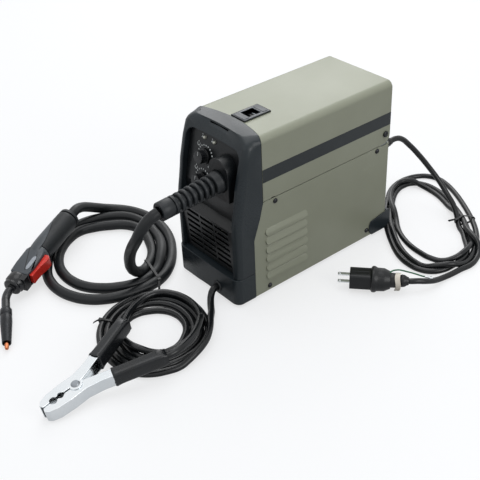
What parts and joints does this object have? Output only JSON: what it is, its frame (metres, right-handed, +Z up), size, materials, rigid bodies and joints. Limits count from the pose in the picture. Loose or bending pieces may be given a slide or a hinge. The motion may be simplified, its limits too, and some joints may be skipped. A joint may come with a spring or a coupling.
{
  "type": "wire-feed welding machine",
  "caption": "Portable wire-feed welder with lifting hood, slide latch, knobs, spool and feeder, fan, hose-fed trigger torch, spring earth clamp and corded plug with adapter.",
  "frame": {"origin": "on the floor under the middle of the case, half way between its side sheets", "axes": "+Z up, -Y out of the case's front, +X towards the side nearest the torch outlet"},
  "size_m": [0.5044, 0.7867, 0.2564],
  "materials": {
    "olive_paint": "satin",
    "moulding_grey": "fine texture",
    "black_plastic": "satin",
    "black_rubber": "matte",
    "cord_vinyl": "semi-gloss",
    "zinc_steel": "zinc plated",
    "steel": "bright",
    "nickel": "nickel plated",
    "dark_screw": "black oxide",
    "latch_grey": "satin",
    "brass": "satin",
    "copper": "bright copper",
    "board": "solder mask",
    "trigger_red": "satin",
    "torch_grey": "satin",
    "lens": "clear lens",
    "aluminium": "extruded"
  },
  "bodies": {
    "case": {"base_tray": "zinc_steel", "right_side_panel": "olive_paint", "left_side_panel": "olive_paint", "rear_panel": "olive_paint", "mid_deck": "zinc_steel", "front_bezel": "moulding_grey", "control_panel": "black_plastic", "front_grille": "black_plastic", "front_foot": "moulding_grey", "rear_foot": "moulding_grey", "rubber_feet": "black_rubber", "case_screws": "dark_screw", "torch_socket": "black_plastic", "torch_outlet_tube": "brass", "indicator_lenses": "lens", "control_board": "board", "feeder_frame": "zinc_steel", "feeder_motor": "black_plastic", "tension_spring": "steel", "spool_bracket": "zinc_steel", "power_board": "board", "heat_sink": "aluminium", "fan_frame": "black_plastic", "switch_frame": "black_plastic", "mains_gland": "black_plastic", "mains_cord": "cord_vinyl", "mains_cord_coil": "cord_vinyl", "plug_body": "black_rubber", "plug_adapter": "black_plastic", "plug_blades": "nickel", "torch_boot": "black_rubber", "torch_hose": "cord_vinyl", "torch_hose_coil": "cord_vinyl", "torch_grip": "black_rubber", "torch_body": "torch_grey", "torch_neck": "black_plastic", "torch_nozzle": "dark_screw", "contact_tip": "copper", "earth_grommet": "black_rubber", "earth_lead": "cord_vinyl", "earth_lead_coil": "cord_vinyl", "clamp_jaw_fixed": "nickel", "clamp_rivet": "zinc_steel", "sleeve_fixed": "black_rubber"},
    "hood_body": {"hood": "olive_paint", "latch_plate": "latch_grey"},
    "latch": {"latch_slider": "black_plastic"},
    "voltage_knob": {"knob_voltage": "black_plastic"},
    "speed_knob": {"knob_wire_speed": "black_plastic"},
    "trigger": {"torch_trigger": "trigger_red"},
    "clamp_jaw": {"clamp_jaw_moving": "nickel", "sleeve_moving": "black_rubber"},
    "spool": {"wire_spool": "black_plastic", "spool_wire": "copper"},
    "feed_roll": {"drive_roll": "steel"},
    "pressure_lever": {"pressure_arm": "black_plastic"},
    "idler": {"pressure_roller": "steel"},
    "tension_screw": {"tension_knob": "black_plastic"},
    "fan": {"fan_rotor": "black_plastic"},
    "rocker": {"switch_rocker": "black_plastic"}
  },
  "joints": [
    {"name": "hood_lift", "type": "hinge", "parent": "case", "child": "hood_body", "pos_m": [0, 0.1397, 0.1732], "axis": [-1, 0, 0], "range_deg": [0, 70]},
    {"name": "latch_slide", "type": "slide", "parent": "hood_body", "child": "latch", "axis": [0, -1, 0], "range_m": [0, 0.006]},
    {"name": "voltage_turn", "type": "hinge", "parent": "case", "child": "voltage_knob", "pos_m": [-0.02, -0.12562, 0.203], "axis": [0, -0.977, 0.213], "range_deg": [-135, 135]},
    {"name": "wire_speed_turn", "type": "hinge", "parent": "case", "child": "speed_knob", "pos_m": [-0.02, -0.13304, 0.169], "axis": [0, -0.977, 0.213], "range_deg": [-135, 135]},
    {"name": "trigger_press", "type": "hinge", "parent": "case", "child": "trigger", "pos_m": [-0.17383, -0.34698, 0.02433], "axis": [0.0632, -0.124, 0.9903], "range_deg": [0, 6], "stiffness_Nm_per_rad": 0.5, "springref_deg": -11.46},
    {"name": "clamp_open", "type": "hinge", "parent": "case", "child": "clamp_jaw", "pos_m": [0.074, -0.415, 0.0198], "axis": [-0.0055, 0.1581, -0.9874], "range_deg": [0, 25], "stiffness_Nm_per_rad": 1.5, "springref_deg": -20.05},
    {"name": "spool_turn", "type": "hinge", "parent": "case", "child": "spool", "pos_m": [0.028, 0.07, 0.2], "axis": [1, 0, 0], "continuous": true},
    {"name": "feed_roll_turn", "type": "hinge", "parent": "case", "child": "feed_roll", "pos_m": [0.028, -0.035, 0.1771], "axis": [1, 0, 0], "continuous": true},
    {"name": "pressure_lift", "type": "hinge", "parent": "case", "child": "pressure_lever", "pos_m": [0.02, -0.056, 0.205], "axis": [1, 0, 0], "range_deg": [0, 2.5], "stiffness_Nm_per_rad": 6, "springref_deg": -14.32, "deforming": ["tension_spring"]},
    {"name": "idler_turn", "type": "hinge", "parent": "pressure_lever", "child": "idler", "pos_m": [0.028, -0.035, 0.1999], "axis": [1, 0, 0], "continuous": true},
    {"name": "tension_turn", "type": "hinge", "parent": "case", "child": "tension_screw", "pos_m": [0.02, -0.01, 0.19], "axis": [0, 0, 1], "range_deg": [-180, 180]},
    {"name": "fan_turn", "type": "hinge", "parent": "case", "child": "fan", "pos_m": [0, 0.145, 0.08], "axis": [0, 1, 0], "continuous": true},
    {"name": "power_rocker", "type": "hinge", "parent": "case", "child": "rocker", "pos_m": [-0.03, 0.149, 0.133], "axis": [0, 0, -1], "range_deg": [0, 16]}
  ],
  "couplings": [
    {"joint": "idler_turn", "follows": "feed_roll_turn", "ratio": -1.3158}
  ]
}
